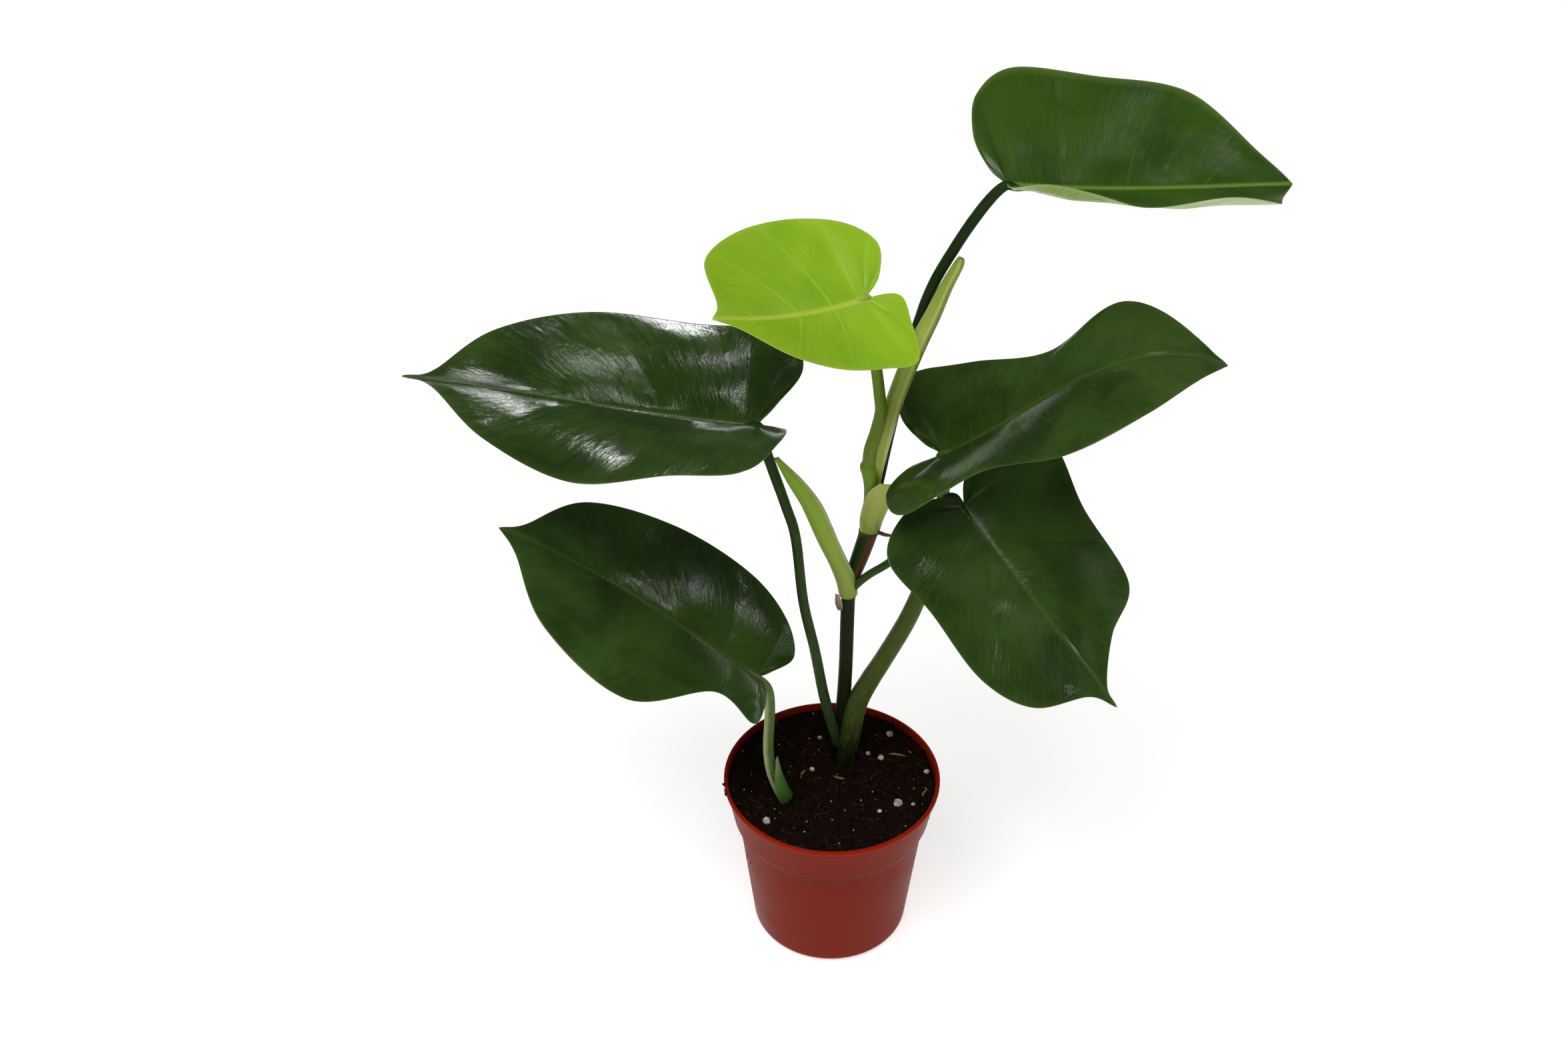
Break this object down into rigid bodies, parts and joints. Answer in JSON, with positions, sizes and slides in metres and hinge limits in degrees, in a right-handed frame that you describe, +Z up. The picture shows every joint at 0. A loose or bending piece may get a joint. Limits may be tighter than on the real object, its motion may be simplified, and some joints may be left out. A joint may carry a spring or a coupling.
{
  "type": "potted philodendron",
  "caption": "Young philodendron with large heart-shaped glossy leaves on long stalks, rooted in soil in a tapered terracotta-coloured nursery pot.",
  "frame": {"origin": "centre of the pot's flat underside", "axes": "+Z up along the pot's axis, -Y towards the plant's front, +X to the viewer's right"},
  "size_m": [0.3721, 0.1847, 0.4097],
  "materials": {
    "terracotta_plastic": "moulded plastic, satin, dusty",
    "potting_soil": "moist crumbly peat mix",
    "dark_leaf": "glossy waxy leaf",
    "mature_leaf": "glossy waxy leaf, mid green",
    "young_leaf": "satin soft leaf, yellow green",
    "stem_green": "smooth green stem",
    "dark_stalk": "smooth dark green stalk",
    "green_stalk": "smooth green stalk",
    "pale_green": "soft pale green skin",
    "root_brown": "dry brown root skin",
    "perlite": "porous expanded mineral",
    "bark": "dry fibrous bark"
  },
  "bodies": {
    "root": {"nursery_pot": "terracotta_plastic", "potting_soil": "potting_soil", "leaf_left": "dark_leaf", "leaf_lower_left": "dark_leaf", "leaf_right": "dark_leaf", "leaf_lower_right": "dark_leaf", "leaf_top": "mature_leaf", "leaf_young": "young_leaf", "main_stem": "stem_green", "stalk_top": "dark_stalk", "stalk_left": "dark_stalk", "stalk_lower_right": "dark_stalk", "stalk_right": "green_stalk", "stalk_lower_left": "green_stalk", "sheath_lower_left": "green_stalk", "stalk_young": "pale_green", "rolled_new_leaf": "pale_green", "sheath_middle": "pale_green", "sheath_stem_top": "pale_green", "roots": "root_brown", "aerial_root": "root_brown", "bud_scale": "bark", "perlite_1": "perlite", "perlite_2": "perlite", "perlite_3": "perlite", "perlite_4": "perlite", "perlite_5": "perlite", "perlite_6": "perlite", "perlite_7": "perlite", "perlite_8": "perlite", "perlite_9": "perlite", "perlite_10": "perlite", "bark_sliver_1": "bark", "bark_sliver_2": "bark", "bark_sliver_3": "bark", "bark_sliver_4": "bark"}
  },
  "joints": []
}
